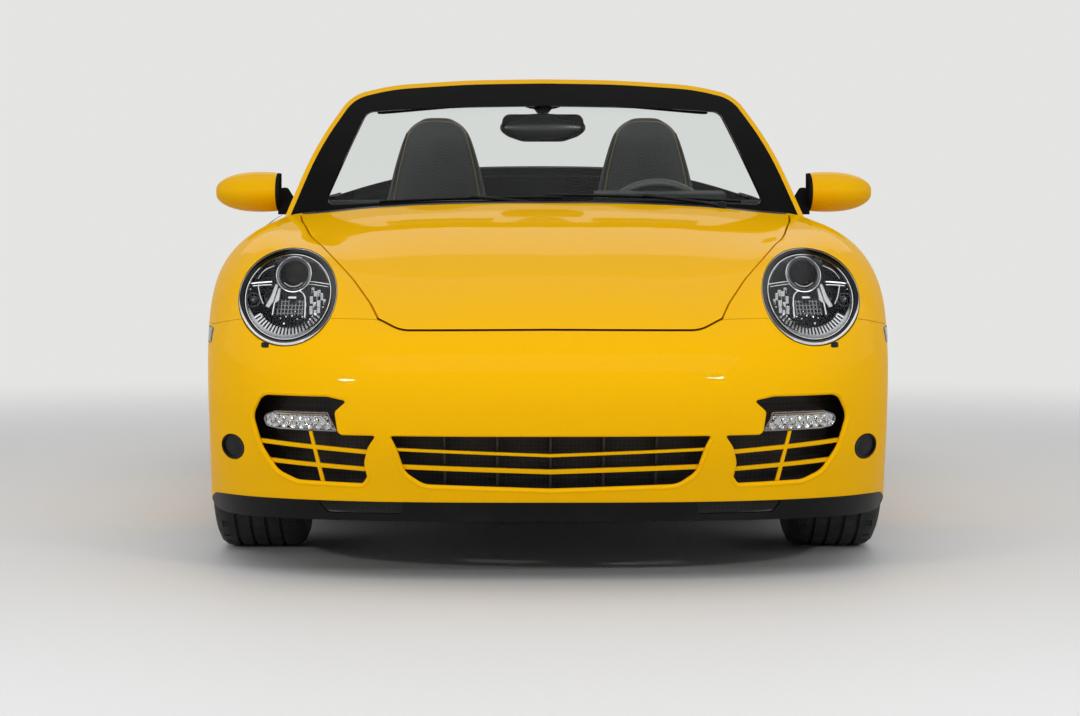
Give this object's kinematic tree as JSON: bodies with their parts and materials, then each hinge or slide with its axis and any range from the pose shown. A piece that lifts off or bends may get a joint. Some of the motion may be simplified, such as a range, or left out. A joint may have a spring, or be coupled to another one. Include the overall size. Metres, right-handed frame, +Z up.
{
  "type": "open_sports_car",
  "caption": "Yellow two-door open sports car with its roof folded away, black lip and trim, round headlamps; doors, lids, steering and wheels move.",
  "frame": {"origin": "on the floor under the centre of the car's bounding box", "axes": "+Z up, -Y towards the nose, +X towards the driver's side (the car's left)"},
  "size_m": [1.912, 4.4512, 1.287],
  "materials": {
    "body_paint": "bright yellow gloss paint",
    "black_trim": "satin black",
    "dark_grille": "matt black",
    "lamp_housing": "dark gloss bowl with bright reflectors",
    "lamp_clear": "clear with bright facets",
    "lamp_red": "red lens",
    "screen_glass": "clear laminated",
    "carpet": "dark carpet and undercoat",
    "engine_metal": "cast",
    "chassis_metal": "bare and coated metal",
    "seat_leather": "black with dark yellow stitching",
    "dash_trim": "soft black",
    "tyre": "black rubber",
    "rim_metal": "silver paint"
  },
  "bodies": {
    "chassis": {"front_bumper": "body_paint", "front_lip": "black_trim", "front_grilles": "dark_grille", "front_fender_left": "body_paint", "front_fender_right": "body_paint", "headlamp_left": "lamp_housing", "headlamp_right": "lamp_housing", "daytime_lamp_left": "lamp_clear", "daytime_lamp_right": "lamp_clear", "rear_quarter_left": "body_paint", "rear_quarter_right": "body_paint", "rear_bumper": "body_paint", "tail_lamp_left": "lamp_red", "tail_lamp_right": "lamp_red", "cowl_panel": "black_trim", "windscreen_frame": "body_paint", "windscreen_trim": "black_trim", "windscreen_glass": "screen_glass", "floor_pan": "carpet", "front_bulkhead": "carpet", "front_trunk_tub": "black_trim", "rear_bulkhead": "carpet", "engine": "engine_metal", "front_suspension": "chassis_metal", "rear_suspension": "chassis_metal", "front_seat_left": "seat_leather", "front_seat_right": "seat_leather", "rear_seats": "seat_leather", "dashboard": "dash_trim"},
    "hood": {"hood": "body_paint"},
    "door_left": {"door_left": "body_paint"},
    "door_right": {"door_right": "body_paint"},
    "roof_lid": {"roof_lid": "body_paint"},
    "engine_lid": {"engine_lid": "body_paint"},
    "steering_wheel": {"steering_wheel": "seat_leather"},
    "knuckle_left": {"knuckle_left": "chassis_metal"},
    "knuckle_right": {"knuckle_right": "chassis_metal"},
    "wheel_front_left": {"tyre_front_left": "tyre", "rim_front_left": "rim_metal"},
    "wheel_front_right": {"tyre_front_right": "tyre", "rim_front_right": "rim_metal"},
    "wheel_rear_left": {"tyre_rear_left": "tyre", "rim_rear_left": "rim_metal"},
    "wheel_rear_right": {"tyre_rear_right": "tyre", "rim_rear_right": "rim_metal"}
  },
  "joints": [
    {"name": "hood_hinge", "type": "hinge", "parent": "chassis", "child": "hood", "pos_m": [0, -0.813, 0.915], "axis": [-1, 0, 0], "range_deg": [0, 65]},
    {"name": "engine_lid_hinge", "type": "hinge", "parent": "chassis", "child": "engine_lid", "pos_m": [0, 1.163, 1], "axis": [1, 0, 0], "range_deg": [0, 60]},
    {"name": "roof_lid_hinge", "type": "hinge", "parent": "chassis", "child": "roof_lid", "pos_m": [0, 1.182, 1], "axis": [1, 0, 0], "range_deg": [-48, 0]},
    {"name": "door_left_hinge", "type": "hinge", "parent": "chassis", "child": "door_left", "pos_m": [0.874, -0.593, 0.3], "axis": [0, 0, -1], "range_deg": [0, 62]},
    {"name": "door_right_hinge", "type": "hinge", "parent": "chassis", "child": "door_right", "pos_m": [-0.874, -0.593, 0.3], "axis": [0, 0, 1], "range_deg": [0, 62]},
    {"name": "steer_left", "type": "hinge", "parent": "chassis", "child": "knuckle_left", "pos_m": [0.66, -1.29, 0.3235], "axis": [0, 0, 1], "range_deg": [-28, 28]},
    {"name": "steer_right", "type": "hinge", "parent": "chassis", "child": "knuckle_right", "pos_m": [-0.66, -1.29, 0.3235], "axis": [0, 0, 1], "range_deg": [-28, 28]},
    {"name": "steering_wheel_turn", "type": "hinge", "parent": "chassis", "child": "steering_wheel", "pos_m": [0.338, -0.33, 0.815], "axis": [0, 0.9135, 0.4067], "range_deg": [-386.4, 386.4]},
    {"name": "wheel_front_left_spin", "type": "hinge", "parent": "knuckle_left", "child": "wheel_front_left", "pos_m": [0.745, -1.29, 0.3235], "axis": [1, 0, 0], "continuous": true},
    {"name": "wheel_rear_left_spin", "type": "hinge", "parent": "chassis", "child": "wheel_rear_left", "pos_m": [0.77, 1.06, 0.333], "axis": [1, 0, 0], "continuous": true},
    {"name": "wheel_front_right_spin", "type": "hinge", "parent": "knuckle_right", "child": "wheel_front_right", "pos_m": [-0.745, -1.29, 0.3235], "axis": [1, 0, 0], "continuous": true},
    {"name": "wheel_rear_right_spin", "type": "hinge", "parent": "chassis", "child": "wheel_rear_right", "pos_m": [-0.77, 1.06, 0.333], "axis": [1, 0, 0], "continuous": true}
  ],
  "couplings": [
    {"joint": "steer_right", "follows": "steer_left", "ratio": 1},
    {"joint": "steering_wheel_turn", "follows": "steer_left", "ratio": 13.8}
  ]
}
